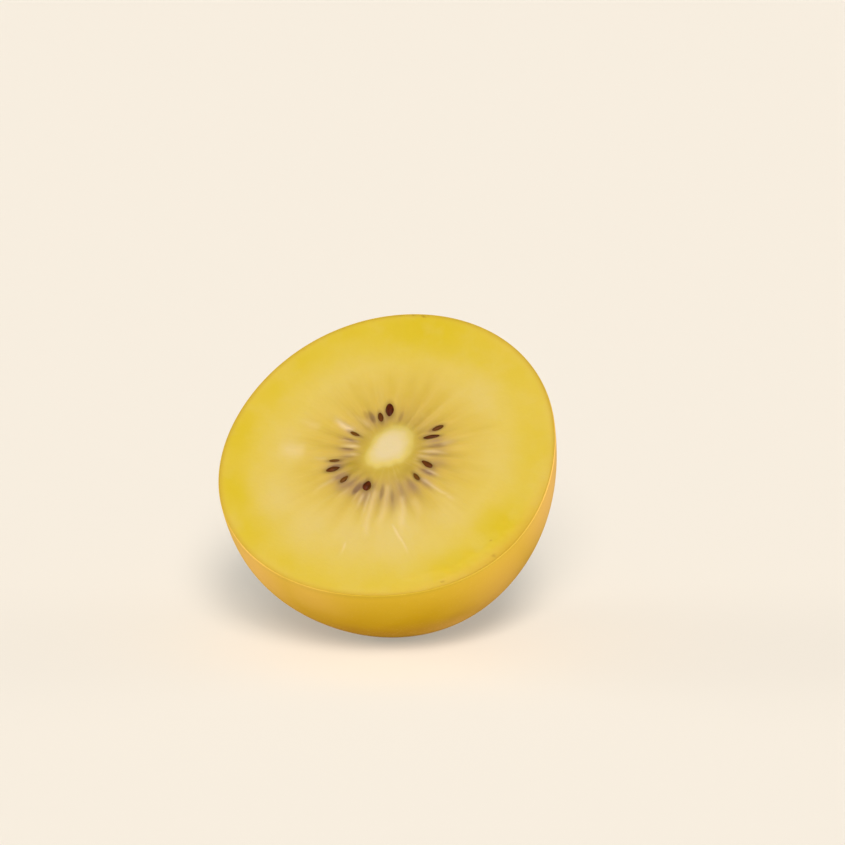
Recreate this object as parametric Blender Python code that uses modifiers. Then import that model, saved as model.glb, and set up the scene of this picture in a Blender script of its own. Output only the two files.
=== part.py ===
"""Half of a golden kiwi fruit, cut across its middle.

The half lies on its skin with the cut face leaning back. It is shaped upright about +Z, with
the cut at height zero and the stem end below, and then it is tilted and set down on a small
flat spot. The origin is on the surface that it rests on, under the middle of its bounding box.
"""

import math

import bmesh
import bpy
from mathutils import Matrix, Vector

MM = 0.001

# The fruit's outer shape
CUT_RADIUS = 27.0 * MM
HALF_LENGTH = 34.6 * MM             # from the cut to the stem end
FULLNESS = 1.91                     # 2 is a true ellipse, more is fuller at the shoulders
LOBES = (                           # how far the cut is from round:
    (2, 0.0275, 127),               # swells round the cut, share of the radius, first swell
    (3, 0.0145, -114),              # in degrees from +X
    (4, 0.005, 171),
)
RIM_ROUNDING = 0.4 * MM
BELLY = 0.25 * MM                   # how far the skin swells out below the cut
BELLY_DEPTH = 20.0 * MM             # and how far down that goes
LEAN = 0.012                        # how far the stem end leans towards -X, a share of the depth

# The cut face
CORE_CENTRE = (-0.2 * MM, 1.0 * MM)
CORE_RADIUS = 3.3 * MM
CORE_LOBES = ((1, 0.084, 27), (2, 0.161, 116), (3, 0.039, -79), (4, 0.04, -142))
CORE_RISE = 0.25 * MM
CHAMBERS = 26
CHAMBER_DEPTH = 0.2 * MM
CHAMBER_WALL_ANGLE = math.radians(261)
CHAMBER_START = (5.0 * MM, 6.6 * MM)    # where the hollows begin and where they are full
CHAMBER_END = (9.5 * MM, 14.0 * MM)     # where they begin to fade and where they are gone
FACE_RINGS = [ring * MM for ring in
              (2.4, 3.3, 4.1, 4.9, 5.7, 6.6, 7.6, 8.8, 10.2, 12.0, 14.5, 18.0, 22.0, 25.0)]

# The seeds that stand in the cut: where each lies (degrees round from +X, then mm from the
# axis), the way it points in degrees, its length and its width in mm
SEEDS = (
    (97.2, 8.53, 101, 3.0, 1.5),
    (108.6, 7.3, 108, 2.4, 0.95),
    (149.4, 6.93, 155, 2.4, 0.7),
    (192.2, 8.55, 188, 2.5, 0.7),
    (202.2, 9.05, 200, 2.6, 1.2),
    (219.4, 8.21, 230, 2.2, 0.9),
    (247.4, 6.71, 255, 2.4, 1.45),
    (320.0, 6.47, 305, 2.1, 0.9),
    (345.7, 6.5, 329, 2.9, 1.1),
    (30.3, 7.33, 11, 3.0, 0.85),
    (37.9, 8.81, 31, 2.5, 0.85),
)
SEED_THICKNESS = 0.9                # share of its width
SEED_SUNK = 0.25                    # how far its middle is below the face, share of thickness
SEED_TAPER = 0.35                   # how much slimmer the end by the core is
SEED_SIDES = 8
SEED_RINGS = 5

# The stem scar
SCAR_RADIUS = 6.8 * MM              # out to the plain skin
SCAR_RINGS = [ring * MM for ring in (5.7, 4.8, 4.0, 3.3, 2.6, 2.0, 1.4)]
SCAR_CREST = 0.45 * MM
SCAR_CREST_RADIUS = 3.6 * MM
SCAR_CREST_SPREAD = 1.1 * MM
SCAR_HOLE_DEPTH = 1.2 * MM
SCAR_HOLE = (1.0 * MM, 2.1 * MM)    # from the hole's floor to its lip
SCAR_DIMPLE = 0.5 * MM
SCAR_DIMPLE_RADIUS = 6.0 * MM
SCAR_KNOBS = ((5, 0.20, 20), (9, 0.16, 75))     # lumps round the crest, share of it, degrees

# How it lies
TILT = math.radians(40.2)           # how far the cut leans from level, towards -Y
TURN = math.radians(-10.5)
CUT_CENTRE = Vector((0.16, -4.67, 30.55)) * MM

SEGMENTS = 4 * CHAMBERS
SKIN_RINGS = 13
MERGE = 0.000001
SLIVER = 0.025 * MM                 # edges shorter than this are closed up


def smooth_step(low, high, value):
    """0 below low, 1 above high, and a smooth rise between them."""
    share = min(max((value - low) / (high - low), 0.0), 1.0)
    return share * share * (3.0 - 2.0 * share)


def waves(angle, terms):
    """The sum of a few waves round the axis."""
    return sum(size * math.cos(count * angle - math.radians(peak)) for count, size, peak in terms)


def skin_depth(reach):
    """How far below the cut the skin is at a distance from the axis."""
    return HALF_LENGTH * (1.0 - (reach / CUT_RADIUS) ** FULLNESS) ** (1.0 / FULLNESS)


def with_belly(reach, depth):
    """The skin's distance from the axis at a depth below the cut, with its swell added."""
    return reach + BELLY * math.sin(math.pi * min(depth / BELLY_DEPTH, 1.0)) ** 2


def outline():
    """Points (distance from the axis, height), from the middle of the cut to the stem end."""
    points = [(0.0, 0.0)] + [(ring, 0.0) for ring in FACE_RINGS]
    for step in range(3):
        turn = math.radians(45 * step)
        points.append((CUT_RADIUS - RIM_ROUNDING * (1.0 - math.sin(turn)),
                       -RIM_ROUNDING * (1.0 - math.cos(turn))))
    scar_start = math.acos((SCAR_RADIUS / CUT_RADIUS) ** (FULLNESS / 2.0))
    for ring in range(1, SKIN_RINGS + 1):
        turn = scar_start * ring / SKIN_RINGS
        reach = CUT_RADIUS * math.cos(turn) ** (2.0 / FULLNESS)
        depth = skin_depth(reach)
        points.append((with_belly(reach, depth), -depth))
    points += [(ring, -skin_depth(ring)) for ring in SCAR_RINGS]
    points.append((0.0, -HALF_LENGTH))
    return points


def in_core(x, y):
    """1 on the core's flat top, falling to 0 round its edge."""
    x, y = x - CORE_CENTRE[0], y - CORE_CENTRE[1]
    edge = CORE_RADIUS * (1.0 + waves(math.atan2(y, x), CORE_LOBES))
    return 1.0 - smooth_step(0.8, 1.25, math.hypot(x, y) / edge)


def face_rise(x, y):
    """Height of the cut face's relief: the core stands up and the seed chambers lie hollow."""
    reach = math.hypot(x, y)
    band = smooth_step(*CHAMBER_START, reach) * (1.0 - smooth_step(*CHAMBER_END, reach))
    hollow = 0.5 - 0.5 * math.cos(CHAMBERS * (math.atan2(y, x) - CHAMBER_WALL_ANGLE))
    core = in_core(x, y)
    return CORE_RISE * core - CHAMBER_DEPTH * band * hollow * (1.0 - core)


def scar_rise(reach, angle):
    """How far the stem scar stands out of the skin's smooth curve."""
    crest = SCAR_CREST * math.exp(-((reach - SCAR_CREST_RADIUS) / SCAR_CREST_SPREAD) ** 2)
    dimple = SCAR_DIMPLE * math.exp(-(reach / SCAR_DIMPLE_RADIUS) ** 4)
    hole = SCAR_HOLE_DEPTH * (1.0 - smooth_step(*SCAR_HOLE, reach))
    return crest * (1.0 + waves(angle, SCAR_KNOBS)) - dimple - hole


def turned_mesh():
    """The outline turned round the axis, as a mesh of its own."""
    points = outline()
    mesh = bpy.data.meshes.new("outline")
    mesh.from_pydata([(reach, 0.0, height) for reach, height in points],
                     [(index, index + 1) for index in range(len(points) - 1)], [])
    profile = bpy.data.objects.new("outline", mesh)
    bpy.context.scene.collection.objects.link(profile)
    screw = profile.modifiers.new("turn", "SCREW")
    screw.steps = SEGMENTS
    screw.render_steps = SEGMENTS
    screw.use_merge_vertices = True
    screw.merge_threshold = MERGE
    turned = bpy.data.meshes.new_from_object(
        profile.evaluated_get(bpy.context.evaluated_depsgraph_get()))
    bpy.data.objects.remove(profile)
    return turned


def shape_fruit(mesh):
    """Moves the turned mesh's points: the lobes, the relief of the cut and the stem scar."""
    for vertex in mesh.vertices:
        x, y, z = vertex.co
        reach, angle = math.hypot(x, y), math.atan2(y, x)
        on_face = z > -MERGE
        fade = 1.0 if on_face else reach / CUT_RADIUS
        swell = 1.0 + waves(angle, LOBES) * fade
        if on_face:
            vertex.co.z += face_rise(x * swell, y * swell)
        elif reach < CUT_RADIUS / 2.0:
            vertex.co.z -= scar_rise(reach, angle)
        vertex.co.x = vertex.co.x * swell + LEAN * min(z, 0.0)
        vertex.co.y *= swell


def add_seed(place, reach, heading, length, width, collection):
    """One seed: a flattened ball, slimmer towards the core, sunk into the cut."""
    bm = bmesh.new()
    bmesh.ops.create_uvsphere(bm, u_segments=SEED_SIDES, v_segments=SEED_RINGS, radius=0.5)
    bmesh.ops.rotate(bm, verts=bm.verts, matrix=Matrix.Rotation(math.radians(90), 3, "Y"))
    for vertex in bm.verts:
        slim = 1.0 - SEED_TAPER * max(0.0, -2.0 * vertex.co.x)
        vertex.co.y *= slim
        vertex.co.z *= slim
    thickness = width * SEED_THICKNESS
    bmesh.ops.scale(bm, verts=bm.verts, vec=Vector((length, width, thickness)) * MM)
    bmesh.ops.rotate(bm, verts=bm.verts, matrix=Matrix.Rotation(math.radians(heading), 3, "Z"))
    middle = Vector((math.cos(math.radians(place)), math.sin(math.radians(place)), 0.0)) * reach
    middle.z = -SEED_SUNK * thickness
    bmesh.ops.translate(bm, verts=bm.verts, vec=middle * MM)
    mesh = bpy.data.meshes.new("seed")
    bm.to_mesh(mesh)
    bm.free()
    collection.objects.link(bpy.data.objects.new("seed", mesh))


def join_seeds(fruit):
    """Unites the seeds with the fruit and removes their own objects."""
    seeds = bpy.data.collections.new("seeds")
    bpy.context.scene.collection.children.link(seeds)
    for place, reach, heading, length, width in SEEDS:
        add_seed(place, reach, heading, length, width, seeds)
    union = fruit.modifiers.new("seeds", "BOOLEAN")
    union.operation = "UNION"
    union.operand_type = "COLLECTION"
    union.collection = seeds
    joined = bpy.data.meshes.new_from_object(
        fruit.evaluated_get(bpy.context.evaluated_depsgraph_get()))
    fruit.modifiers.clear()
    fruit.data = joined
    for seed in list(seeds.objects):
        bpy.data.objects.remove(seed)
    bpy.data.collections.remove(seeds)


def cut_flat_spot(mesh, pose):
    """Cuts the skin level where the resting surface crosses it."""
    to_fruit = pose.inverted()
    bm = bmesh.new()
    bm.from_mesh(mesh)
    cut = bmesh.ops.bisect_plane(
        bm, geom=bm.verts[:] + bm.edges[:] + bm.faces[:], dist=MERGE,
        plane_co=to_fruit @ Vector((0.0, 0.0, 0.0)),
        plane_no=to_fruit.to_3x3() @ Vector((0.0, 0.0, -1.0)), clear_outer=True)
    edges = [piece for piece in cut["geom_cut"] if isinstance(piece, bmesh.types.BMEdge)]
    bmesh.ops.contextual_create(bm, geom=edges)
    bmesh.ops.triangulate(bm, faces=bm.faces)
    bmesh.ops.dissolve_degenerate(bm, dist=SLIVER, edges=bm.edges)
    bmesh.ops.recalc_face_normals(bm, faces=bm.faces)
    bm.to_mesh(mesh)
    bm.free()


def fruit_material():
    """Golden flesh and skin in one plain colour."""
    material = bpy.data.materials.new("golden_flesh")
    material.use_nodes = True
    shader = material.node_tree.nodes["Principled BSDF"]
    shader.inputs["Base Color"].default_value = (0.72, 0.50, 0.07, 1.0)
    shader.inputs["Roughness"].default_value = 0.4
    shader.inputs["Metallic"].default_value = 0.0
    return material


for old in list(bpy.data.objects):
    bpy.data.objects.remove(old)

parts = bpy.data.collections.new("half_golden_kiwi_fruit")
bpy.context.scene.collection.children.link(parts)

half = bpy.data.objects.new("kiwi_half", turned_mesh())
parts.objects.link(half)
shape_fruit(half.data)
join_seeds(half)

lie = Matrix.Translation(CUT_CENTRE) @ Matrix.Rotation(TURN, 4, "Z") @ Matrix.Rotation(TILT, 4, "X")
cut_flat_spot(half.data, lie)
half.matrix_world = lie
half.data.materials.clear()
half.data.materials.append(fruit_material())
half.data.shade_smooth()
half.data.set_sharp_from_angle(angle=math.radians(35))
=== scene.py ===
import math

import bmesh
import bpy
import numpy as np
from mathutils import Matrix, Vector, noise


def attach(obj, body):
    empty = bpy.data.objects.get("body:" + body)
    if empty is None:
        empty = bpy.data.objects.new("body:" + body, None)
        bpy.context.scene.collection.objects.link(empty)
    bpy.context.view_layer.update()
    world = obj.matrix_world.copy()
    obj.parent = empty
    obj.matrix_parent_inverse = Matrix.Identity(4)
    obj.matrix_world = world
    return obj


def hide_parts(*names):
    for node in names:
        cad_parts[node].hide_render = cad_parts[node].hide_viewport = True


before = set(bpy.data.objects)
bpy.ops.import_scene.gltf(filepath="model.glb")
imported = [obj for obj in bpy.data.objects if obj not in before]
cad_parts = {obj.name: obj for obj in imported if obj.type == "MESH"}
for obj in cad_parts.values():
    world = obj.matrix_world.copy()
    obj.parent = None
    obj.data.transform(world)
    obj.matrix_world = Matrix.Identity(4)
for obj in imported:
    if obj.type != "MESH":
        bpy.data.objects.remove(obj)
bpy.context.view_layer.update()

MM = 0.001


# --- The table, the light and the camera ---------------------------------------------------
# A pale cream light table, lit from below, under plain studio light: two broad soft lamps in
# front, one above the other, a low one on either side and a little light from all round. The
# camera looks a little down at the cut.

CUT_CENTRE = Vector((0.16, -4.67, 30.55)) * MM      # the middle of the cut, where the CAD has it
TILT = math.radians(40.2)                           # how far the cut leans from level
TURN = math.radians(-10.5)                          # and is turned about the upright
CAMERA_ELEVATION = math.radians(14)
CAMERA_DISTANCE = 651.7 * MM
LENS = 176.5                                        # in mm, on a 36 mm sensor
AIM = CUT_CENTRE + Vector((5.31, 1.17, 4.70)) * MM  # what the camera looks at
TABLE_REACH = 3.0                                   # in m, from the middle to each side


def tone(red, green, blue, alpha=1.0):
    """A colour from its values on a 0 to 255 paint card, as the light that it sends back."""
    parts = [part / 255.0 for part in (red, green, blue)]
    return tuple(part / 12.92 if part <= 0.04045 else ((part + 0.055) / 1.055) ** 2.4
                 for part in parts) + (alpha,)


def new_material(name):
    """A material, its node tree and its Principled shader."""
    material = bpy.data.materials.new(name)
    material.use_nodes = True
    tree = material.node_tree
    return material, tree, tree.nodes["Principled BSDF"]


scene = bpy.context.scene
scene.view_settings.view_transform = "Standard"

table_material, tree, shader = new_material("table_top")
shader.inputs["Base Color"].default_value = tone(193, 183, 174)
shader.inputs["Roughness"].default_value = 0.9
shader.inputs["Specular IOR Level"].default_value = 0.0
shader.inputs["Emission Color"].default_value = tone(150, 151, 145)
shader.inputs["Emission Strength"].default_value = 1.0
bm = bmesh.new()
bmesh.ops.create_grid(bm, x_segments=1, y_segments=1, size=TABLE_REACH)
table = bpy.data.objects.new("table_top", bpy.data.meshes.new("table_top"))
bm.to_mesh(table.data)
bm.free()
table.data.materials.append(table_material)
scene.collection.objects.link(table)

world = bpy.data.worlds.new("studio")
world.use_nodes = True
world.node_tree.nodes["Background"].inputs["Color"].default_value = tone(250, 250, 250)
world.node_tree.nodes["Background"].inputs["Strength"].default_value = 0.24
scene.world = world

# Degrees round from the front, degrees above the table, degrees across, strength.
LAMPS = (
    ("front_lamp", 0, 32, 20, 2.83),
    ("upper_lamp", 8, 42, 16, 1.62),
    ("right_lamp", 100, 8, 30, 1.13),
    ("left_lamp", -100, 8, 30, 1.67),
)
for name, round_from_front, above, across, strength in LAMPS:
    lamp = bpy.data.objects.new(name, bpy.data.lights.new(name, "SUN"))
    lamp.data.energy = strength
    lamp.data.color = (1.0, 0.967, 0.888)
    lamp.data.angle = math.radians(across)
    lamp.rotation_euler = (math.radians(90 - above), 0.0, math.radians(round_from_front))
    scene.collection.objects.link(lamp)

camera = bpy.data.objects.new("camera", bpy.data.cameras.new("camera"))
camera.data.sensor_width = 36.0
camera.data.lens = LENS
camera.data.clip_start = 0.01
toward_camera = Vector((0.0, -math.cos(CAMERA_ELEVATION), math.sin(CAMERA_ELEVATION)))
camera.location = AIM + toward_camera * CAMERA_DISTANCE
camera.rotation_euler = (math.pi / 2 - CAMERA_ELEVATION, 0.0, 0.0)
scene.collection.objects.link(camera)
scene.camera = camera


# --- The flesh -----------------------------------------------------------------------------
# The golden flesh inside the skin, cut straight across. Its face has the pale firm core in
# the middle, the ring of soft seed chambers round it, and plain juicy flesh out to the skin.

CUT_RADIUS = 27.0 * MM
HALF_LENGTH = 34.6 * MM             # from the cut to the stem end
FULLNESS = 1.91                     # of the curve between them: 2 is an ellipse
BELLY = 0.25 * MM                   # how far the skin swells out below the cut
BELLY_DEPTH = 20.0 * MM
LEAN = 0.012                        # of the stem end towards -X, a share of the depth
SKIN = 0.18 * MM                    # thickness
BEDDED = 0.04 * MM                  # how far the flesh reaches into it, so that no gap shows
RIM_ROUNDING = 0.12 * MM
FLESH_STEPS = 600                   # points in a turn
FACE_RINGS = 104
CORE_CENTRE = (-0.2 * MM, 1.0 * MM)
CORE_RADIUS = 3.3 * MM
CORE_RISE = 0.25 * MM

# How far the cut and the core are out of round: crests in a turn, how high each is as a share of
# the radius, and degrees round to one of them.
LOBES = ((2, 0.0275, 127), (3, 0.0145, -114), (4, 0.005, 171))
CORE_LOBES = ((1, 0.084, 27), (2, 0.161, 116), (3, 0.039, -79), (4, 0.04, -142))

CHAMBERS = 26
CHAMBER_DEPTH = 0.2 * MM
CHAMBER_WALL_ANGLE = math.radians(261)  # where one of the walls stands
RING_INSIDE = (5.0 * MM, 6.6 * MM)      # where the chambers begin, and where they are at full depth
RING_OUTSIDE = (9.5 * MM, 14.0 * MM)    # where they begin to fade, and where they end
RAY_RISE = 0.10 * MM
SOCKET_DEPTH = 0.12 * MM            # of the hollow round each seed
FIBRE_RISE = 0.02 * MM              # of the fine spokes in the cut
CUT_WAVE = 0.05 * MM                # the cut's own unevenness
LUMP_RISE = 0.14 * MM               # of the torn flesh beside the rim
LUMP_ANGLE = math.radians(-52)
NICK_DEPTH = 0.10 * MM
SCAR_BACKING = 2.0 * MM             # how far the flesh draws back above the stem scar
SCAR_BACKING_RADIUS = 6.5 * MM

# The seeds in the cut: degrees round, mm from the axis, heading in degrees, mm long, mm wide, and
# how brown rather than nearly black.
SEEDS = (
    (97.2, 8.53, 101, 3.0, 1.5, 0.0),
    (108.6, 7.3, 108, 2.4, 0.95, 0.5),
    (149.4, 6.93, 155, 2.4, 0.7, 0.9),
    (192.2, 8.55, 188, 2.5, 0.7, 0.9),
    (202.2, 9.05, 200, 2.6, 1.2, 0.4),
    (219.4, 8.21, 230, 2.2, 0.9, 0.9),
    (247.4, 6.71, 255, 2.4, 1.45, 0.1),
    (320.0, 6.47, 305, 2.1, 0.9, 0.9),
    (345.7, 6.5, 329, 2.9, 1.1, 0.4),
    (30.3, 7.33, 11, 3.0, 0.85, 0.3),
    (37.9, 8.81, 31, 2.5, 0.85, 0.6),
)

# Seeds just below the cut: places and sizes in the same way, and how strongly each shows.
HIDDEN_SEEDS = (
    (118.5, 7.9, 118, 2.2, 0.8, 0.45),
    (123, 8.6, 124, 1.6, 0.6, 0.25),
    (239.5, 8.0, 246, 2.2, 0.8, 0.45),
    (270, 7.4, 272, 2.4, 0.7, 0.2),
    (282, 8.2, 280, 2.0, 0.5, 0.2),
    (82.6, 7.2, 82, 1.8, 0.6, 0.25),
    (175, 6.7, 176, 1.8, 0.4, 0.35),
    (161, 6.8, 161, 1.8, 0.4, 0.25),
    (13, 7.6, 8, 2.6, 0.5, 0.3),
    (335, 7.2, 335, 1.6, 0.5, 0.35),
    (198.5, 8.6, 196, 1.6, 0.4, 0.35),
)

# Pale walls that show: degrees and mm out where each starts and where it ends, mm wide, strength.
RAYS = (
    (147, 7.6, 147, 11.8, 1.1, 1.3),
    (168, 4.9, 172, 8.4, 0.6, 0.8),
    (159, 5.4, 166, 8.8, 0.45, 0.5),
    (185, 4.6, 184, 7.4, 0.6, 0.85),
    (181, 13.5, 180, 18.0, 2.4, 0.5),
    (160, 12.5, 160, 16.5, 1.6, 0.3),
    (188, 9.8, 188, 12.5, 0.8, 0.4),
    (8, 4.8, 4.3, 9.4, 0.5, 0.65),
    (358, 4.6, 358, 7.4, 0.8, 0.45),
    (350, 4.2, 351, 6.0, 0.4, 0.5),
    (17, 8.4, 16, 11.0, 1.0, 0.5),
    (341, 4.4, 341, 6.0, 0.4, 0.4),
    (262, 7.2, 265, 16.5, 1.1, 0.5),
    (256, 7.8, 259, 13.0, 0.6, 0.5),
    (276, 6.0, 272, 14.5, 1.0, 0.4),
    (292, 8.6, 285, 15.5, 1.0, 0.5),
    (281, 13.8, 288, 20.0, 0.4, 0.7),
    (250, 8.4, 252, 11.5, 0.5, 0.6),
    (244, 8.3, 246, 11.0, 0.5, 0.4),
    (323, 7.4, 325, 13.8, 0.6, 0.6),
    (324, 12.6, 324, 14.8, 0.7, 0.6),
    (336, 6.8, 336, 9.6, 0.5, 0.9),
    (328, 5.6, 325, 6.6, 0.4, 0.5),
    (213, 9.4, 218, 14.0, 0.8, 0.4),
    (302, 9.8, 300, 14.0, 1.2, 0.3),
    (232, 8.8, 232, 12.0, 0.7, 0.3),
    (128, 6.4, 133, 10.0, 0.7, 0.3),
    (255.4, 17.8, 255.6, 20.2, 0.35, 1.0),
)

# The same, for darker streaks of clear flesh between the walls.
DEEP_STREAKS = (
    (83, 10.8, 83, 16.2, 1.8, 0.9),
    (71, 10.5, 72, 16.0, 1.6, 0.75),
    (59, 9.6, 58, 15.6, 2.0, 0.8),
    (47, 10.5, 46, 15.0, 1.5, 0.5),
    (36, 11.5, 33, 16.0, 1.6, 0.6),
    (20, 13.0, 22, 18.5, 1.8, 0.75),
    (-6, 11.5, -8, 16.5, 1.6, 0.6),
    (-20, 10.5, -22, 15.0, 1.4, 0.45),
    (96, 11.2, 97, 16.5, 1.5, 0.75),
    (106, 10.0, 108, 15.5, 1.6, 0.7),
    (121, 10.0, 121, 16.5, 1.7, 0.8),
    (134, 11.0, 136, 16.0, 1.6, 0.6),
    (157, 11.0, 158, 16.5, 1.5, 0.5),
    (171, 10.5, 171, 15.5, 1.6, 0.5),
    (196, 12.0, 197, 16.5, 2.0, 0.5),
    (206, 11.5, 207, 15.5, 1.8, 0.45),
    (228, 9.5, 229, 15.0, 2.4, 0.6),
    (241, 9.5, 241, 15.5, 2.0, 0.55),
    (256, 9.5, 258, 14.5, 1.3, 0.6),
    (270, 8.0, 268, 13.5, 1.4, 0.6),
    (281, 8.0, 278, 14.0, 1.6, 0.7),
    (298, 8.0, 295, 14.5, 1.8, 0.7),
    (311, 8.5, 312, 15.0, 1.8, 0.6),
)

# Mauve jelly round the seeds: degrees round and mm out to the middle of each patch, half of its
# size in degrees and in mm, strength.
JELLY = (
    (15, 7.8, 5, 2.0, 0.8),
    (23, 7.6, 4, 1.8, 0.8),
    (2, 7.2, 7, 1.6, 0.55),
    (352, 8.4, 6, 1.6, 0.45),
    (334, 7.3, 6, 1.2, 1.0),
    (321, 8.2, 5, 1.6, 0.8),
    (306, 7.6, 9, 2.0, 0.85),
    (291, 7.6, 9, 2.2, 0.7),
    (281, 8.6, 5, 2.2, 0.6),
    (270, 7.6, 4, 1.8, 0.7),
    (259, 7.4, 5, 1.6, 0.6),
    (240, 7.7, 6, 1.7, 1.2),
    (230, 7.8, 7, 1.7, 1.0),
    (214, 8.2, 6, 1.6, 1.1),
    (198.5, 8.4, 4, 1.6, 1.0),
    (190, 6.4, 7, 1.3, 0.8),
    (177, 6.6, 4, 1.5, 1.0),
    (162, 6.8, 5, 1.5, 0.9),
    (150, 7.4, 5, 1.4, 0.4),
    (120, 7.6, 7, 1.4, 0.75),
    (109, 7.0, 6, 1.3, 0.4),
    (82, 7.2, 4, 1.1, 0.35),
    (38, 8.2, 5, 1.6, 0.5),
    (222, 8.4, 24, 1.7, 0.8),
    (200, 8.0, 10, 1.9, 0.85),
    (252, 8.6, 12, 1.7, 0.75),
    (286, 8.2, 24, 2.1, 0.6),
    (26, 6.9, 8, 1.0, 0.6),
    (8, 7.8, 16, 1.7, 0.45),
    (346, 7.6, 14, 1.5, 0.5),
    (106, 7.2, 12, 1.3, 0.5),
)

# The same, for the greener flesh between the core and the seeds.
OLIVE = (
    (207, 6.0, 18, 1.5, 1.3),
    (186, 4.8, 10, 0.9, 0.7),
    (232, 5.2, 16, 1.1, 0.7),
    (322, 4.6, 20, 1.1, 0.9),
    (302, 5.0, 14, 1.1, 0.6),
    (290, 5.2, 8, 0.9, 0.3),
    (150, 5.0, 16, 1.0, 0.7),
    (110, 5.6, 14, 0.8, 0.4),
    (12, 5.2, 12, 1.0, 0.6),
    (350, 5.4, 8, 0.8, 0.4),
    (70, 6.4, 16, 0.7, 0.3),
)

# The same, for the clearest yellow flesh under the skin.
LEMON = (
    (84, 24.6, 25, 5.0, 1.0),
    (60, 23.5, 13, 3.0, 0.6),
    (112, 25.6, 14, 2.6, 0.7),
    (134, 24.0, 16, 2.8, 0.6),
    (150, 23.4, 10, 2.4, 0.6),
    (174, 24.8, 15, 2.6, 0.8),
    (200, 25.2, 14, 2.4, 0.85),
    (218, 25.2, 9, 2.4, 0.7),
    (240, 25.4, 10, 1.8, 0.4),
    (42, 23.4, 8, 3.4, 0.4),
    (6, 23.4, 12, 3.0, 0.55),
    (-12, 23.6, 9, 2.4, 0.35),
    (-33, 23.6, 13, 3.6, 0.95),
    (-56, 24.6, 13, 2.4, 0.65),
    (-80, 25.6, 12, 1.4, 0.3),
)

# The same, for the palest flesh, half way out and at the right of the rim.
CREAM = (
    (282, 15.5, 20, 5.5, 0.9),
    (258, 16.5, 16, 4.5, 0.8),
    (236, 17.5, 16, 4.5, 0.7),
    (210, 18.5, 13, 3.5, 0.7),
    (181, 16.0, 12, 2.6, 0.7),
    (312, 15.5, 14, 4.0, 0.5),
    (45, 18.0, 15, 3.6, 0.55),
    (0, 18.5, 16, 3.5, 0.3),
    (128, 16.5, 12, 3.0, 0.25),
    (-8, 25.4, 26, 3.0, 0.35),
)

# Brown nicks and crumbs of skin at the rim: degrees round, mm out, mm long, mm wide.
NICKS = (
    (-63.2, 26.2, 0.7, 0.30),
    (-43.2, 26.2, 0.6, 0.35),
    (-40.3, 24.0, 0.35, 0.3),
    (86.5, 27.35, 0.7, 0.35),
    (90.0, 27.45, 0.5, 0.4),
    (94.5, 27.4, 0.5, 0.3),
)

ROLL = 0.9 * MM                     # how far the rim bends down where the knife left the fruit
ROLL_WIDTH = 2.6 * MM
ROLL_ANGLE = math.radians(-38)
ROLL_HALF_ANGLE = math.radians(58)
RIM_EDGE = 0.45 * MM                # how far in the rim takes on the skin's tone

resting = Matrix.Translation(CUT_CENTRE) @ Matrix.Rotation(TURN, 4, "Z") @ Matrix.Rotation(TILT, 4, "X")


def smooth_step(low, high, value):
    """0 below low, 1 above high, and a smooth rise between them."""
    share = np.clip((value - low) / (high - low), 0.0, 1.0)
    return share * share * (3.0 - 2.0 * share)


def lobes(angle, terms=LOBES):
    """How far an outline stands out of round at an angle, as a share of its radius."""
    return sum(size * np.cos(count * angle - math.radians(peak)) for count, size, peak in terms)


def grain(points, size, seed=0.0):
    """Smooth noise from -1 to 1 at each point, with swells about this size."""
    shift = Vector((seed, 1.7 * seed, 2.3 * seed))
    return np.array([noise.noise(Vector(point) / size + shift) for point in points])


def turned(outline, steps):
    """The outline, (reach, height) points from axis to axis, spun into a closed mesh."""
    bm = bmesh.new()
    points = [bm.verts.new((reach, 0.0, height)) for reach, height in outline]
    edges = [bm.edges.new(pair) for pair in zip(points, points[1:])]
    bmesh.ops.spin(bm, geom=points + edges, cent=(0, 0, 0), axis=(0, 0, 1), angle=math.tau,
                   steps=steps, use_merge=True)
    bmesh.ops.remove_doubles(bm, verts=bm.verts, dist=MM * 0.001)
    bmesh.ops.recalc_face_normals(bm, faces=bm.faces)
    mesh = bpy.data.meshes.new("turned")
    bm.to_mesh(mesh)
    bm.free()
    return mesh


def points_of(mesh):
    """The mesh's points as rows of x, y and z."""
    points = np.empty(len(mesh.vertices) * 3)
    mesh.vertices.foreach_get("co", points)
    return points.reshape(-1, 3)


def round_axis(points):
    """How far each point is from the fruit's axis, and its angle round it."""
    return np.hypot(points[:, 0], points[:, 1]), np.arctan2(points[:, 1], points[:, 0])


def set_down(mesh, points, lowest):
    """Puts points in fruit coordinates where the half lies, pressed flat where it rests."""
    leaned = points + np.outer(np.minimum(points[:, 2], 0.0), (LEAN, 0.0, 0.0))
    placed = leaned @ np.array(resting.to_3x3()).T + np.array(resting.translation)
    placed[:, 2] = np.maximum(placed[:, 2], lowest)
    mesh.vertices.foreach_set("co", placed.ravel())
    mesh.update()
    mesh.shade_smooth()


def mark(mesh, name, values):
    """Keeps one number a point for the material to read."""
    mesh.attributes.new(name, "FLOAT", "POINT").data.foreach_set("value", values)


def add_piece(name, mesh, material):
    """A finished piece of the fruit, which stands for the CAD's plain half."""
    piece = bpy.data.objects.new(name, mesh)
    mesh.name = name
    mesh.materials.append(material)
    scene.collection.objects.link(piece)
    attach(piece, "root")
    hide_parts("kiwi_half")


def oval(x, y, centre_x, centre_y, heading, half_length, half_width):
    """How far each point is from an oval's middle: 1 on its edge."""
    along, across = math.cos(heading), math.sin(heading)
    dx, dy = x - centre_x, y - centre_y
    return np.hypot((dx * along + dy * across) / half_length,
                    (dy * along - dx * across) / half_width)


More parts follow.
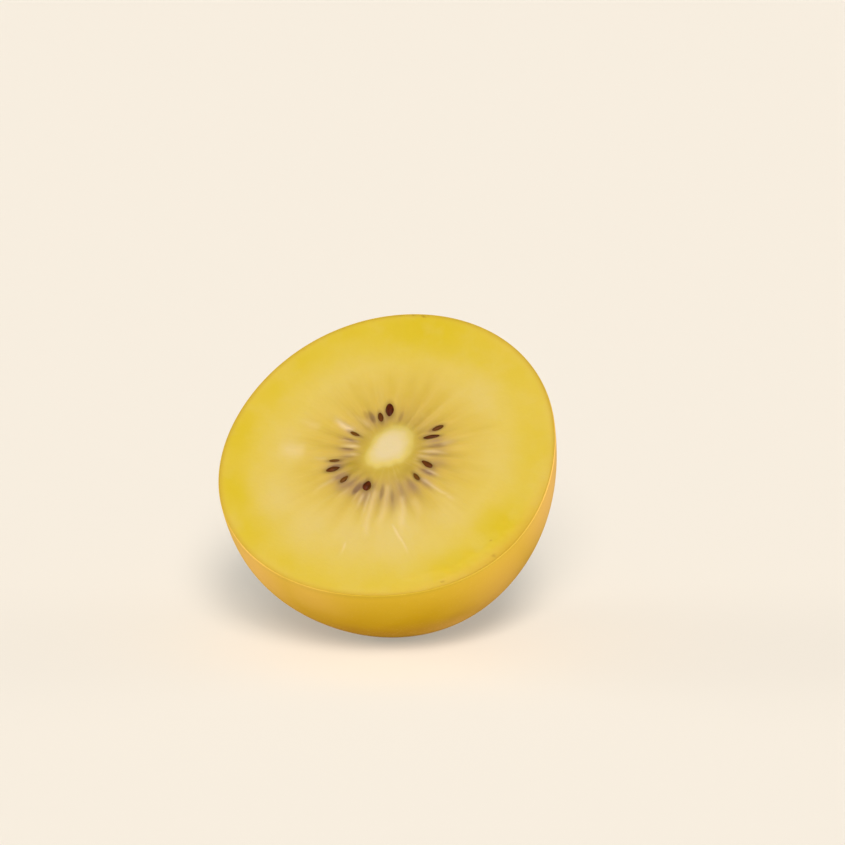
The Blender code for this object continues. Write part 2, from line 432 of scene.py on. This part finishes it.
def seed_nearness(x, y, around, reach, heading, length, width, spread):
    """1 over a seed, falling to 0 at spread times its size."""
    around, heading = math.radians(around), math.radians(heading)
    distance = oval(x, y, math.cos(around) * reach * MM, math.sin(around) * reach * MM, heading,
                    length / 2 * MM, width / 2 * MM)
    return 1.0 - smooth_step(0.55, spread, distance)


def rays_at(reach, angle, table):
    """How strongly a table's rays show at each point: full along their middles, 0 beside them."""
    total = np.zeros(len(reach))
    for start_angle, start, end_angle, end, width, strength in table:
        along = np.clip((reach / MM - start) / (end - start), 0.0, 1.0)
        middle = np.radians(start_angle + (end_angle - start_angle) * along)
        off = np.angle(np.exp(1j * (angle - middle))) * reach / MM
        ends = smooth_step(start - 0.5, start + 0.8, reach / MM) * (
            1.0 - smooth_step(end - 2.5, end + 0.4, reach / MM))
        total = np.maximum(total, strength * ends * np.exp(-(off / (width * 0.5)) ** 2))
    return total


def patches(reach, angle, table):
    """Soft oval patches, from a table of degrees, mm out, half sizes in both and strength."""
    total = np.zeros(len(reach))
    for middle, out, half_angle, half_width, strength in table:
        off = np.degrees(np.angle(np.exp(1j * (angle - math.radians(middle))))) / half_angle
        total = np.maximum(total, strength * np.exp(-off ** 2 - ((reach / MM - out) / half_width) ** 2))
    return total


def rolled(from_rim, angle):
    """How far the rim bends down, at a distance from it along the cut or down the skin."""
    off = np.clip(np.angle(np.exp(1j * (angle - ROLL_ANGLE))) / ROLL_HALF_ANGLE, -1.0, 1.0)
    return ROLL * np.cos(off * math.pi / 2) ** 2 * np.clip(1.0 - from_rim / ROLL_WIDTH, 0.0, 1.0) ** 2


def skin_line(turn, inset):
    """A point (reach, depth) of the skin's plain curve, this far inside it."""
    reach = (CUT_RADIUS - inset) * math.cos(turn) ** (2 / FULLNESS)
    share = max(0.0, 1.0 - (reach / (CUT_RADIUS - inset)) ** FULLNESS)
    depth = (HALF_LENGTH - inset) * share ** (1.0 / FULLNESS)
    return reach + BELLY * math.sin(math.pi * min(depth / BELLY_DEPTH, 1.0)) ** 2, depth


def plain_depth(reach):
    """How deep the skin's curve lies below the cut, before the stem scar is shaped."""
    return HALF_LENGTH * (1.0 - np.clip(reach / CUT_RADIUS, 0, 1) ** FULLNESS) ** (1 / FULLNESS)


def under_scar(reach):
    """How far the flesh and the inside of the skin draw back above the stem scar."""
    return SCAR_BACKING * math.exp(-(reach / SCAR_BACKING_RADIUS) ** 4)


inset = SKIN - BEDDED
flesh_radius = CUT_RADIUS - inset
outline = [(reach, 0.0) for reach in np.linspace(0.0, flesh_radius - RIM_ROUNDING, FACE_RINGS)]
for turn in np.radians((30, 60)):
    outline.append((flesh_radius - RIM_ROUNDING * (1 - math.sin(turn)),
                    -RIM_ROUNDING * (1 - math.cos(turn))))
for turn in np.linspace(0.03, math.pi / 2, 22):
    out, depth = skin_line(turn, inset)
    outline.append((out, -max(RIM_ROUNDING, depth - under_scar(out))))
outline[-1] = (0.0, outline[-1][1])

flesh = turned(outline, FLESH_STEPS)
points = points_of(flesh)
reach, angle = round_axis(points)
on_face = points[:, 2] > -1.5 * RIM_ROUNDING
share = reach / flesh_radius
swell = 1.0 + lobes(angle) * np.where(on_face, 1.0, np.minimum(share, 1.0))
points[:, :2] *= swell[:, None]
reach *= swell
x, y = points[:, 0], points[:, 1]
from_rim = (1.0 - share) * flesh_radius

spoke = np.stack([np.cos(angle), np.sin(angle), share], axis=1)
drift = grain(points, 3.0 * MM, 7.0)
bend = angle + np.radians(1.6) * drift
core_x, core_y = x - CORE_CENTRE[0], y - CORE_CENTRE[1]
core_oval = np.hypot(core_x, core_y) / CORE_RADIUS / (1.0 + lobes(np.arctan2(core_y, core_x),
                                                                   CORE_LOBES))
core = 1.0 - smooth_step(0.42, 1.5, core_oval + 0.08 * grain(points, 1.2 * MM))
core_top = 1.0 - smooth_step(0.8, 1.25, core_oval)
olive = (1.0 - core) * (1.0 - smooth_step(1.25, 2.0, core_oval))
band = smooth_step(*RING_INSIDE, reach) * (1.0 - smooth_step(*RING_OUTSIDE, reach)) * (1.0 - core_top)
wobble = 0.9 * grain(spoke * (2.2, 2.2, 1.5), 1.0, 3.0)
wall = 0.5 + 0.5 * np.cos(CHAMBERS * (angle - CHAMBER_WALL_ANGLE) + wobble)
ray = rays_at(reach, bend, RAYS)
# Dark blurs: the hidden seeds seen through the flesh, and round each seed in the cut a half-strength dark
# halo, which is painted shade in the hollow it sits in.
seed_blur_and_shade = np.zeros(len(points))
socket = np.zeros(len(points))
for around, out, heading, length, width, _ in SEEDS:
    socket = np.maximum(socket, seed_nearness(x, y, around, out, heading, length, width, 1.9))
    seed_blur_and_shade = np.maximum(seed_blur_and_shade, 0.5 * seed_nearness(x, y, around, out, heading, length, width, 1.7))
for around, out, heading, length, width, strength in HIDDEN_SEEDS:
    seed_blur_and_shade = np.maximum(seed_blur_and_shade, strength * seed_nearness(x, y, around, out, heading, length, width, 1.6))
nick = np.zeros(len(points))
for around, out, length, width in NICKS:
    nick = np.maximum(nick, seed_nearness(x, y, around, out, around + 80, length, width, 1.5))
fibre = grain(spoke * (26.0, 26.0, 2.0), 1.0, 5.0)
lumpy = smooth_step(0.82, 0.90, share) * (1.0 - smooth_step(0.945, 0.97, share))
lumpy *= np.clip(np.cos(angle - LUMP_ANGLE) * 5.0 - 3.9, 0.0, 1.0)      # gone 39 degrees away
lumps = lumpy * (0.4 * grain(points, 1.0 * MM, 2.0) + 0.7 * grain(points, 2.2 * MM, 9.0))
rise = (CORE_RISE * core_top
        - CHAMBER_DEPTH * band * (1.0 - wall)
        + RAY_RISE * ray
        - SOCKET_DEPTH * socket * (1.0 - core)
        + FIBRE_RISE * fibre * smooth_step(0.15, 0.3, share) * (1.0 - smooth_step(0.5, 0.8, share))
        + CUT_WAVE * grain(points, 5.0 * MM, 1.0)
        + LUMP_RISE * lumps
        - NICK_DEPTH * nick)
points[:, 2] += rise * smooth_step(1.0, 0.985, share) * on_face
points[:, 2] -= rolled(np.where(on_face, from_rim, -points[:, 2]), angle)

flesh.attributes.new("spoke", "FLOAT_VECTOR", "POINT").data.foreach_set("vector", spoke.ravel())
mark(flesh, "core", core)
mark(flesh, "olive", np.maximum(0.35 * olive, patches(reach, bend, OLIVE) * (1.0 - core)))
mark(flesh, "ray", ray)
mark(flesh, "deep", rays_at(reach, bend, DEEP_STREAKS))
mark(flesh, "gel", patches(reach + 0.5 * MM * drift, bend, JELLY) * (1.0 - 0.25 * wall) * (1.0 - core))
mark(flesh, "lemon", patches(reach + 1.2 * MM * drift, angle, LEMON))
mark(flesh, "cream", patches(reach, bend, CREAM))
mark(flesh, "seed_blur_and_shade", seed_blur_and_shade)
mark(flesh, "nick", nick)
mark(flesh, "lump", np.clip(lumps * 1.2, 0.0, 1.0))
mark(flesh, "peach", np.maximum(rolled(from_rim, angle) / ROLL,
                                0.7 * np.exp(-(from_rim / RIM_EDGE) ** 2)))
set_down(flesh, points, SKIN)


def node(tree, kind, inputs=None, **settings):
    """A new node with its settings, and its inputs set to values or linked to sockets."""
    made = tree.nodes.new(kind)
    for name, value in settings.items():
        setattr(made, name, value)
    for name, value in (inputs or {}).items():
        if isinstance(value, bpy.types.NodeSocket):
            tree.links.new(value, made.inputs[name])
        else:
            made.inputs[name].default_value = value
    return made


def combined(tree, kind, *values):
    """The output of a Math node of this kind."""
    return node(tree, "ShaderNodeMath", dict(enumerate(values)), operation=kind).outputs[0]


def blend(tree, share, first, second):
    """One colour over another, by the share of the second."""
    return node(tree, "ShaderNodeMix", {0: share, 6: first, 7: second}, data_type="RGBA").outputs[2]


def ramp(tree, value, *stops):
    """A colour ramp's output, from its (place, colour) stops."""
    made = node(tree, "ShaderNodeValToRGB", {"Fac": value})
    elements = made.color_ramp.elements
    elements[0].position, elements[0].color = stops[0]
    elements[1].position, elements[1].color = stops[-1]
    for place, colour in stops[1:-1]:
        elements.new(place).color = colour
    return made.outputs["Color"]


def between(tree, value, low, high, least=0.0, most=1.0):
    """How far a value has come from low to high, as a number from least to most."""
    return node(tree, "ShaderNodeMapRange", {"Value": value, "From Min": low, "From Max": high,
                                             "To Min": least, "To Max": most}).outputs[0]


def noise_of(tree, vector, scale, detail=2.0):
    """A Noise texture's value, from 0 to 1 about 0.5."""
    return node(tree, "ShaderNodeTexNoise",
                {"Vector": vector, "Scale": scale, "Detail": detail}).outputs["Fac"]


def kept(tree, name, output="Fac"):
    """What the mesh keeps under this name."""
    return node(tree, "ShaderNodeAttribute", attribute_name=name).outputs[output]


def tinted(tree, colour, name, strength, tint):
    """A colour with a tint over it wherever the mesh keeps this mark."""
    return blend(tree, combined(tree, "MULTIPLY", kept(tree, name), strength), colour, tint)


def along_fruit(tree):
    """Object coordinates turned to the fruit's own axes, from the middle of the cut."""
    return node(tree, "ShaderNodeMapping", {
        "Vector": node(tree, "ShaderNodeTexCoord").outputs["Object"],
        "Location": CUT_CENTRE, "Rotation": (TILT, 0.0, TURN)}, vector_type="TEXTURE").outputs[0]


def finish(tree, shader, colour, shine, relief, strength, depth):
    """Gives a shader its colour and shine, and a fine relief of this depth."""
    tree.links.new(colour, shader.inputs["Base Color"])
    shader.inputs["Specular IOR Level"].default_value = shine
    bump = node(tree, "ShaderNodeBump", {"Height": relief, "Strength": strength, "Distance": depth})
    tree.links.new(bump.outputs[0], shader.inputs["Normal"])


flesh_material, tree, shader = new_material("golden_flesh")
place = along_fruit(tree)
spokes = kept(tree, "spoke", "Vector")
out = node(tree, "ShaderNodeSeparateXYZ", {0: spokes}).outputs["Z"]


def spoke_noise(round_scale, out_scale, detail=2.0):
    """Noise drawn out along the spokes of the cut."""
    stretched = node(tree, "ShaderNodeVectorMath",
                     {0: spokes, 1: (round_scale, round_scale, out_scale)}, operation="MULTIPLY")
    return noise_of(tree, stretched.outputs[0], 1.0, detail)


uneven = combined(tree, "MULTIPLY_ADD", combined(tree, "SUBTRACT", spoke_noise(3.0, 3.0), 0.5), 0.12, out)
colour = ramp(
    tree, uneven,
    (0.14, tone(167, 143, 57)),
    (0.24, tone(163, 136, 66)),
    (0.36, tone(173, 146, 64)),
    (0.50, tone(180, 155, 70)),
    (0.66, tone(184, 161, 75)),
    (0.82, tone(183, 160, 63)),
    (0.94, tone(183, 159, 56)),
    (1.00, tone(186, 160, 66)))
colour = tinted(tree, colour, "cream", 0.85, tone(184, 163, 99))
colour = tinted(tree, colour, "lemon", 1.0, tone(179, 156, 27))
colour = tinted(tree, colour, "deep", 0.3, tone(166, 141, 38))
clouds = noise_of(tree, place, 230.0, 3.0)
outer_share = between(tree, out, 0.4, 0.6, 0.0, 0.16)
cloudy = combined(tree, "MULTIPLY", between(tree, clouds, 0.5, 0.66), outer_share)
clear = combined(tree, "MULTIPLY", between(tree, clouds, 0.5, 0.34), outer_share)
colour = blend(tree, cloudy, colour, tone(186, 163, 92))
colour = blend(tree, clear, colour, tone(180, 156, 45))
streaks = combined(tree, "MULTIPLY", combined(tree, "SUBTRACT", spoke_noise(6.0, 1.6, 2.5), 0.5), 1.5)
streaks = combined(tree, "MULTIPLY", streaks, between(tree, out, 0.42, 0.7, 1.0, 0.1))
pale = node(tree, "ShaderNodeClamp", {"Value": streaks}).outputs[0]
dim = node(tree, "ShaderNodeClamp", {"Value": combined(tree, "MULTIPLY", streaks, -1.0)}).outputs[0]
colour = blend(tree, combined(tree, "MULTIPLY", dim, 0.5), colour, tone(166, 141, 43))
colour = blend(tree, combined(tree, "MULTIPLY", pale, 0.5), colour, tone(199, 178, 118))
colour = tinted(tree, colour, "gel", 1.1, tone(136, 108, 78))
colour = tinted(tree, colour, "ray", 0.7, tone(195, 172, 132))
colour = tinted(tree, colour, "olive", 0.8, tone(148, 124, 42))
core_tint = ramp(tree, kept(tree, "core"), (0.0, tone(168, 146, 59)), (0.45, tone(181, 161, 88)),
                 (1.0, tone(187, 170, 130)))
colour = blend(tree, between(tree, kept(tree, "core"), 0.02, 0.3), colour, core_tint)
colour = tinted(tree, colour, "lump", 0.6, tone(186, 158, 24))
colour = tinted(tree, colour, "peach", 1.0, tone(171, 136, 38))
# Painted shade round the seeds in the cut, and the hidden seeds seen through the flesh, darken the flesh
# here.
colour = tinted(tree, colour, "seed_blur_and_shade", 1.0, tone(84, 55, 32))
colour = tinted(tree, colour, "nick", 0.5, tone(132, 96, 24))
wetness = noise_of(tree, place, 420.0, 3.0)
tree.links.new(between(tree, wetness, 0.35, 0.65, 0.50, 0.66), shader.inputs["Roughness"])
shader.inputs["Subsurface Weight"].default_value = 0.35
shader.inputs["Subsurface Radius"].default_value = (1.0, 0.65, 0.15)
shader.inputs["Subsurface Scale"].default_value = 2.0 * MM
relief = combined(tree, "MULTIPLY_ADD", spoke_noise(30.0, 3.0), 0.5, noise_of(tree, place, 1500.0, 3.0))
finish(tree, shader, colour, 0.12, relief, 0.25, 0.10 * MM)

add_piece("cut_flesh", flesh, flesh_material)


# --- The skin ------------------------------------------------------------------------------
# A thin dry skin all round, smooth and nearly hairless, golden brown with fine pale specks.
# It is cut off cleanly with the flesh, and drawn in round the stem scar at the hidden end.

SKIN_STEPS = 360
SCAR_TURN = 1.2                     # radians down the curve from the cut to where the scar's side
FINE_TURN = 1.3                     # begins, and to where the finer steps do
EDGE_BELOW = 0.03 * MM              # the skin's cut edge lies this far below the flesh
SCAR_CREST = 0.45 * MM              # of the ring round the hole where the stalk was
SCAR_CREST_RADIUS = 3.6 * MM
SCAR_CREST_SPREAD = 1.1 * MM
SCAR_HOLE_DEPTH = 1.2 * MM
SCAR_DIMPLE = 0.5 * MM
SCAR_DIMPLE_RADIUS = 6.0 * MM
SCAR_KNOBS = ((5, 0.20, 20), (9, 0.16, 75))     # on it: as the lobes, but a share of its height

# Painted sheen, a paler peach tint at the right and lower left where the skin is seen edge-on: degrees
# round and mm below the cut to the middle of each patch, half of its size in degrees and in mm, strength.
PAINTED_SHEEN = (
    (-5, 4.0, 25, 9.0, 1.0),
    (-40, 9.0, 18, 9.0, 0.5),
    (-60, 17.0, 12, 5.0, 0.35),
    (226, 4.0, 16, 8.0, 0.8),
    (250, 3.0, 12, 6.0, 0.4),
)


def scar_rise(reach, angle):
    """How far the stem scar stands out of the skin's smooth curve."""
    crest = SCAR_CREST * np.exp(-((reach - SCAR_CREST_RADIUS) / SCAR_CREST_SPREAD) ** 2)
    knobs = sum(size * np.cos(count * angle - math.radians(peak)) for count, size, peak in SCAR_KNOBS)
    dimple = SCAR_DIMPLE * np.exp(-(reach / SCAR_DIMPLE_RADIUS) ** 4)
    hole = SCAR_HOLE_DEPTH * (1.0 - smooth_step(1.0 * MM, 2.1 * MM, reach))
    return crest * (1.0 + knobs) - dimple - hole


outer = []
for turn in np.concatenate([np.linspace(0.0, FINE_TURN, 80), np.linspace(FINE_TURN, math.pi / 2, 40)[1:]]):
    out, depth = skin_line(turn, 0.0)
    if depth > EDGE_BELOW + SKIN:
        outer.append((out, -depth))
outer[-1] = (0.0, outer[-1][1])
edge = [(CUT_RADIUS - SKIN / 2 * (1.0 - math.cos(turn)), -EDGE_BELOW - SKIN / 2 * (1.0 - math.sin(turn)))
        for turn in np.linspace(0.0, math.pi, 7)]
inner = []
for turn in np.linspace(0.03, math.pi / 2, 26):
    out, depth = skin_line(turn, SKIN)
    inner.append((out, -max(EDGE_BELOW + SKIN, depth - under_scar(out))))
inner[-1] = (0.0, inner[-1][1])

skin = turned(outer[::-1] + edge + inner, SKIN_STEPS)
points = points_of(skin)
reach, angle = round_axis(points)
depth = -points[:, 2]
swell = 1.0 + lobes(angle) * np.where(depth < 0.5 * MM, 1.0, np.minimum(reach / CUT_RADIUS, 1.0))
scar_side = (reach < CUT_RADIUS / 2) & (depth > skin_line(SCAR_TURN, 0.0)[1])
outside = depth > plain_depth(reach) - SKIN / 2
points[:, 2] -= np.where(scar_side & outside, scar_rise(reach, angle), 0.0)
points[:, 2] -= rolled(depth, angle)
points[:, :2] *= swell[:, None]
mark(skin, "depth", depth / HALF_LENGTH)
mark(skin, "painted_sheen", patches(depth, angle, PAINTED_SHEEN))
set_down(skin, points, 0.0)

skin_material, tree, shader = new_material("golden_skin")
place = along_fruit(tree)
depth_share = kept(tree, "depth")
mottle = noise_of(tree, place, 160.0, 4.0)
unevenness = combined(tree, "MULTIPLY", combined(tree, "SUBTRACT", mottle, 0.5), depth_share)
uneven = combined(tree, "MULTIPLY_ADD", unevenness, 0.8, depth_share)
# Darker down the skin towards the stem end, which rests on the table: partly the skin's own browner tone
# there, partly painted shade on the underside. The darker tone at the very cut edge is painted shade over
# the rounded edge, which catches the lamps.
colour = ramp(
    tree, uneven,
    (0.000, tone(177, 147, 44)),
    (0.006, tone(190, 159, 46)),
    (0.020, tone(200, 166, 44)),
    (0.040, tone(204, 168, 44)),
    (0.250, tone(193, 154, 5)),
    (0.450, tone(176, 133, 2)),
    (0.600, tone(170, 129, 6)),
    (0.900, tone(168, 124, 14)),
    (1.000, tone(150, 108, 32)))
# Painted sheen: a paler peach over the skin at the right and lower left, where it is seen edge-on.
colour = tinted(tree, colour, "painted_sheen", 0.85, tone(229, 181, 101))
dots = node(tree, "ShaderNodeTexVoronoi", {"Vector": place, "Scale": 1300.0}).outputs["Distance"]
specks = between(tree, dots, 0.30, 0.12)
specks = combined(tree, "MULTIPLY", specks, between(tree, noise_of(tree, place, 700.0), 0.32, 0.52))
specks = combined(tree, "MULTIPLY", specks, between(tree, depth_share, 0.3, 0.62, 0.1, 0.7))
colour = blend(tree, specks, colour, tone(222, 184, 96))
shader.inputs["Roughness"].default_value = 0.65
relief = combined(tree, "MULTIPLY_ADD", specks, 0.8, noise_of(tree, place, 900.0, 4.0))
finish(tree, shader, colour, 0.03, relief, 0.3, 0.15 * MM)

add_piece("skin", skin, skin_material)


# --- The stem scar -------------------------------------------------------------------------
# The corky ring where the stalk stood, at the end away from the cut: rough, tan and cracked,
# with a ragged edge that lies over the skin and a dark hollow in the middle.

SCAR_STEPS = 300
SCAR_RINGS = 76
SCAR_EDGE = 5.3 * MM
SCAR_THICKNESS = 0.16 * MM          # how far the cork stands over the skin
SCAR_ROOT = 0.5 * MM                # and how far it goes in under it
SCAR_SKIRT = 1.24 * SCAR_EDGE       # how far its thin edge runs on under the skin
PLATE_RISE = 0.10 * MM              # of the scales of cork between the cracks
CORK_GRAIN = 0.04 * MM
CRACK_DEPTH = 0.14 * MM
SKIRT_DEPTH = 0.12 * MM             # how far that edge lies below the skin's surface
BLANK = 1.0 * MM                    # thickness of the disc that the cork is shaped from

outline = [(out, 0.0) for out in np.linspace(0.0, SCAR_SKIRT, SCAR_RINGS)]
outline += [(out, BLANK) for out in np.linspace(SCAR_SKIRT, 0.0, SCAR_RINGS // 3)]
scar = turned(outline, SCAR_STEPS)
points = points_of(scar)
reach, angle = round_axis(points)
outside = points[:, 2] < BLANK / 2
spoke = np.stack([np.cos(angle), np.sin(angle), reach / SCAR_EDGE], axis=1)
edge_reach = SCAR_EDGE * (1.0 + 0.10 * grain(spoke * (1.6, 1.6, 0.0), 1.0, 11.0)
                          + 0.06 * grain(spoke * (6.0, 6.0, 0.0), 1.0, 12.0))
cover = 1.0 - smooth_step(0.86, 1.08, reach / edge_reach)
crack = (smooth_step(0.12, 0.42, grain(spoke * (5.0, 5.0, 2.2), 1.0, 13.0))
         * smooth_step(0.25, 0.5, reach / SCAR_EDGE))
plates = grain(spoke * (9.0, 9.0, 6.0), 1.0, 14.0)
fine = grain(points * (1.0, 1.0, 0.0), 0.35 * MM, 15.0)
hollow = 1.0 - smooth_step(0.9 * MM, 2.2 * MM, reach)
cork = SCAR_THICKNESS + PLATE_RISE * plates + CORK_GRAIN * fine - CRACK_DEPTH * crack
stand = cover * cork - SKIRT_DEPTH * (1.0 - cover)
points[:, 2] = -(plain_depth(reach) + scar_rise(reach, angle) + np.where(outside, stand, -SCAR_ROOT))
points[:, :2] *= (1.0 + lobes(angle) * reach / CUT_RADIUS)[:, None]
mark(scar, "crack", np.maximum(crack, 0.8 * smooth_step(0.05, 0.5, -plates)) * outside)
mark(scar, "hollow", hollow)
mark(scar, "ridge", np.exp(-((reach - SCAR_CREST_RADIUS) / (1.2 * MM)) ** 2))
set_down(scar, points, 0.0)

scar_material, tree, shader = new_material("stem_cork")
place = node(tree, "ShaderNodeTexCoord").outputs["Object"]
colour = ramp(tree, noise_of(tree, place, 900.0, 4.0), (0.35, tone(150, 110, 58)),
              (0.65, tone(190, 150, 88)))
colour = tinted(tree, colour, "ridge", 0.5, tone(205, 168, 106))
colour = tinted(tree, colour, "crack", 0.9, tone(92, 60, 26))
colour = tinted(tree, colour, "hollow", 0.85, tone(74, 54, 30))
shader.inputs["Roughness"].default_value = 0.85
finish(tree, shader, colour, 0.2, noise_of(tree, place, 2600.0, 4.0), 0.4, 0.10 * MM)

add_piece("stem_scar", scar, scar_material)


# --- The seeds -----------------------------------------------------------------------------
# Small drop-shaped seeds round the core, each sunk into the cut by more than half, with the
# slim end towards the core. They are dark red brown, with a soft shine and a pitted coat.

SEED_THICKNESS = 0.9                # as a share of its width
SEED_SUNK = 0.25                    # how far its middle lies below the cut, in thicknesses
SEED_SUNK_MORE = 0.15               # and mm more
SEED_TAPER = 0.35                   # how much slimmer its inner end is

bm = bmesh.new()
brown = []
for around, out, heading, length, width, brownness in SEEDS:
    ball = bmesh.ops.create_uvsphere(bm, u_segments=32, v_segments=20, radius=0.5)["verts"]
    brown += [brownness] * len(ball)
    bmesh.ops.rotate(bm, verts=ball, matrix=Matrix.Rotation(math.pi / 2, 3, "Y"))
    for vertex in ball:
        slim = 1.0 - SEED_TAPER * max(0.0, -2.0 * vertex.co.x)
        vertex.co.y *= slim
        vertex.co.z *= slim
    thickness = width * SEED_THICKNESS
    bmesh.ops.scale(bm, verts=ball, vec=Vector((length, width, thickness)) * MM)
    bmesh.ops.rotate(bm, verts=ball, matrix=Matrix.Rotation(math.radians(heading), 3, "Z"))
    middle = Vector((math.cos(math.radians(around)), math.sin(math.radians(around)), 0.0)) * out
    middle.z = -SEED_SUNK * thickness - SEED_SUNK_MORE
    bmesh.ops.translate(bm, verts=ball, vec=middle * MM)
seeds = bpy.data.meshes.new("seeds")
bm.to_mesh(seeds)
bm.free()
mark(seeds, "brown", brown)
set_down(seeds, points_of(seeds), 0.0)

seed_material, tree, shader = new_material("seed_coat")
place = node(tree, "ShaderNodeTexCoord").outputs["Object"]
mottle = noise_of(tree, place, 1600.0, 3.0)
colour = ramp(tree, mottle, (0.3, tone(42, 14, 2)), (0.7, tone(80, 29, 6)))
colour = tinted(tree, colour, "brown", 0.75, tone(95, 61, 14))
shader.inputs["Roughness"].default_value = 0.45
pits = node(tree, "ShaderNodeTexVoronoi", {"Vector": place, "Scale": 5200.0}).outputs["Distance"]
finish(tree, shader, colour, 0.06, pits, 0.35, 0.05 * MM)

add_piece("seeds", seeds, seed_material)
